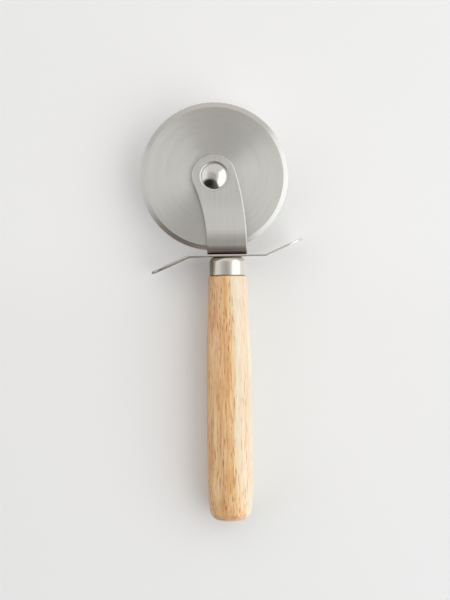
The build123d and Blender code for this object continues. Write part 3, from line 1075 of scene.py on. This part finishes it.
# %% [markdown]
# The surface is oiled and rubbed, so it has a soft gloss, which the coat gives. The vessels are sunk a
# little, and the gloss leaves them out. A brown line darkens the wood just under the ferrule's lip.
#
# Pale wood on a white table tints the table round it. The photograph shows that only on the shaded left,
# so the light that the wood passes on to the right is less coloured than the wood itself.

# %% Wood finish
UNDER_LIP_BROWN = (0.30, 0.17, 0.08, 1.0)
PASSED_LEFT = (0.57, 0.33, 0.15, 1.0)
PASSED_RIGHT = (0.57, 0.55, 0.42, 1.0)
LIP_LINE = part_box("ferrule")[0].y
UNDER_LIP_EDGE = (LIP_LINE - 0.0007, LIP_LINE - 0.0003)
LEFT_TO_RIGHT = (-0.004, 0.004)


def paint_wood():
    material = bpy.data.materials.new("oiled_wood")
    material.use_nodes = True
    tree = material.node_tree
    shader = tree.nodes["Principled BSDF"]
    here = add(tree, "TexCoord").outputs["Object"]
    place = wandering(tree, here)
    ground, fibres, calm = wood_ground(tree, place)
    lines = maths(tree, "MULTIPLY", wood_vessels(tree, place), calm)
    colour = mix_colour(tree, maths(tree, "MULTIPLY", lines, 1.5, clamp=True), ground, VESSEL)
    x, y = split(tree, here)[:2]
    colour = mix_colour(tree, remap(tree, y, *UNDER_LIP_EDGE, 0.0, 0.8), colour, UNDER_LIP_BROWN)
    passed = mix_colour(tree, remap(tree, x, *LEFT_TO_RIGHT), PASSED_LEFT, PASSED_RIGHT)
    colour = mix_colour(tree, add(tree, "LightPath").outputs["Is Diffuse Ray"], colour, passed)
    feed(tree, colour, shader.inputs["Base Color"])
    fibre_rough = remap(tree, fibres, 0.3, 0.7, 0.42, 0.50)
    rough = maths(tree, "ADD", fibre_rough, maths(tree, "MULTIPLY", lines, 0.2))
    feed(tree, rough, shader.inputs["Roughness"])
    shader.inputs["Specular IOR Level"].default_value = 0.5
    feed(tree, maths(tree, "SUBTRACT", 1.0, lines, clamp=True), shader.inputs["Coat Weight"])
    shader.inputs["Coat Roughness"].default_value = 0.34
    bump = add(tree, "Bump")
    bump.inputs["Distance"].default_value = 0.00005
    sunk = maths(tree, "MULTIPLY", lines, 0.3)
    feed(tree, maths(tree, "SUBTRACT", maths(tree, "MULTIPLY", fibres, 0.25), sunk), bump.inputs["Height"])
    feed(tree, bump.outputs[0], shader.inputs["Normal"])
    return material


handle_wood = paint_wood()
print("Mixed the finish", handle_wood.name)

# %% [markdown]
# ## The handle
#
# The handle is turned in one pass: a round at the top that meets the ferrule, a slow taper that is hollow
# first and then swells, a straight grip, a last narrowing and a rounded butt. Each arc starts along the
# line before it, so only a few lengths are needed. The neck inside the ferrule is part of the same turn.

# %% Handle
NECK_RADIUS = 7.85
TOP_RADIUS = 9.2
GRIP_RADIUS = 10.7
TAPER_LENGTH = 50.0
HOLLOW_SHARE = 0.46
GRIP_LENGTH = 47.0
BUTT_RADIUS = 9.1
BUTT_ROUND = 4.5
BUTT_CROWN = 0.4
handle_low, handle_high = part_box("handle")


def rounded_corner(first, first_radius, second, second_radius, round_radius):
    """The centre of a round that touches two arcs from inside, on the side of the greater radius."""
    found = intersect_sphere_sphere_2d(
        first, first_radius - round_radius, second, second_radius - round_radius,
    )
    return max(found, key=lambda point: point.x - point.y)


def make_handle():
    butt = handle_low.y / MM
    neck = handle_high.y / MM
    top = ferrule_low.y / MM
    grip_start = top - TAPER_LENGTH
    grip_end = grip_start - GRIP_LENGTH
    top_edge = TOP_RADIUS - NECK_RADIUS
    # The taper: a hollow arc, and a swelling one that ends straight
    swell_x = GRIP_RADIUS - TOP_RADIUS
    swell_y = top - top_edge - grip_start
    hollow_x, hollow_y = HOLLOW_SHARE * swell_x, HOLLOW_SHARE * swell_y
    hollow_radius = (hollow_x**2 + hollow_y**2) / (2 * hollow_x)
    rest_x, rest_y = swell_x - hollow_x, swell_y - hollow_y
    swell_radius = (rest_x**2 + rest_y**2) / (2 * rest_x)
    # The butt: a long side arc, a nearly flat crown, and the round between them
    side_x = GRIP_RADIUS - BUTT_RADIUS
    side_y = grip_end - butt - BUTT_CROWN
    side_radius = (side_x**2 + side_y**2) / (2 * side_x)
    crown_radius = (BUTT_RADIUS**2 + BUTT_CROWN**2) / (2 * BUTT_CROWN)
    side_middle = Vector((GRIP_RADIUS - side_radius, grip_end))
    crown_middle = Vector((0, butt + crown_radius))
    corner = rounded_corner(side_middle, side_radius, crown_middle, crown_radius, BUTT_ROUND)
    side_turn = asin((side_middle.y - corner.y) / (corner - side_middle).length)
    crown_turn = asin(corner.x / (corner - crown_middle).length)
    corner_turn = pi / 2 - side_turn - crown_turn

    section = HalfSection(0, neck).line(NECK_RADIUS, neck).line(NECK_RADIUS, top)
    section.arc(NECK_RADIUS, top - top_edge, -pi / 2, 6)
    section.arc(TOP_RADIUS + hollow_radius, top - top_edge, asin(hollow_y / hollow_radius), 16)
    section.arc(GRIP_RADIUS - swell_radius, grip_start, -asin(rest_y / swell_radius), 16)
    section.line(GRIP_RADIUS, grip_end)
    section.arc(side_middle.x, side_middle.y, -side_turn, 10)
    section.arc(corner.x, corner.y, -corner_turn, 12)
    section.arc(crown_middle.x, crown_middle.y, -crown_turn, 6)
    shape = section.turned(ON_HANDLE)
    set_down("turned_handle", shape, [handle_wood], "handle_assembly", "handle")


make_handle()
